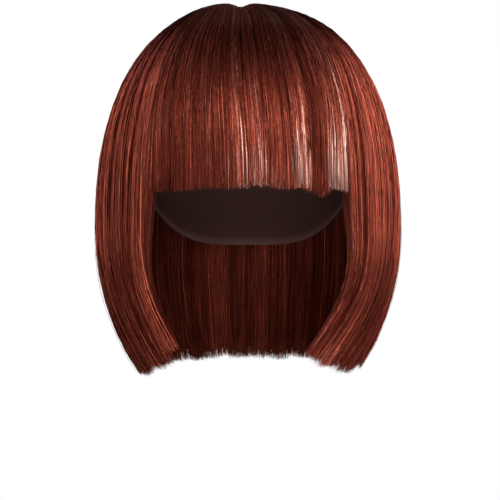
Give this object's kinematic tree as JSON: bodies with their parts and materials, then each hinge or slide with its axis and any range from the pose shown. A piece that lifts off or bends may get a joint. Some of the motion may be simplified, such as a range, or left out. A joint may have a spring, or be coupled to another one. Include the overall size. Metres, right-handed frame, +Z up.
{
  "type": "bob wig",
  "caption": "Chin-length bob wig with a full straight fringe and turned-under tips, worn form, on a thin head cap that is open below.",
  "frame": {"origin": "top of the wearer's skull, where the inside of the cap sits on it", "axes": "+Z up, -Y the way the wearer looks, +X the wearer's left"},
  "size_m": [0.207, 0.2223, 0.2474],
  "materials": {
    "hair": "sleek straight synthetic hair, reddish brown, darker at the crown, with a soft sheen",
    "cap": "thin dark stretch net, matt"
  },
  "bodies": {
    "root": {"cap": "cap", "fringe": "hair", "temple_lock_left": "hair", "temple_lock_right": "hair", "side_hair_left": "hair", "side_hair_right": "hair", "back_hair_left": "hair", "back_hair_right": "hair"}
  },
  "joints": []
}
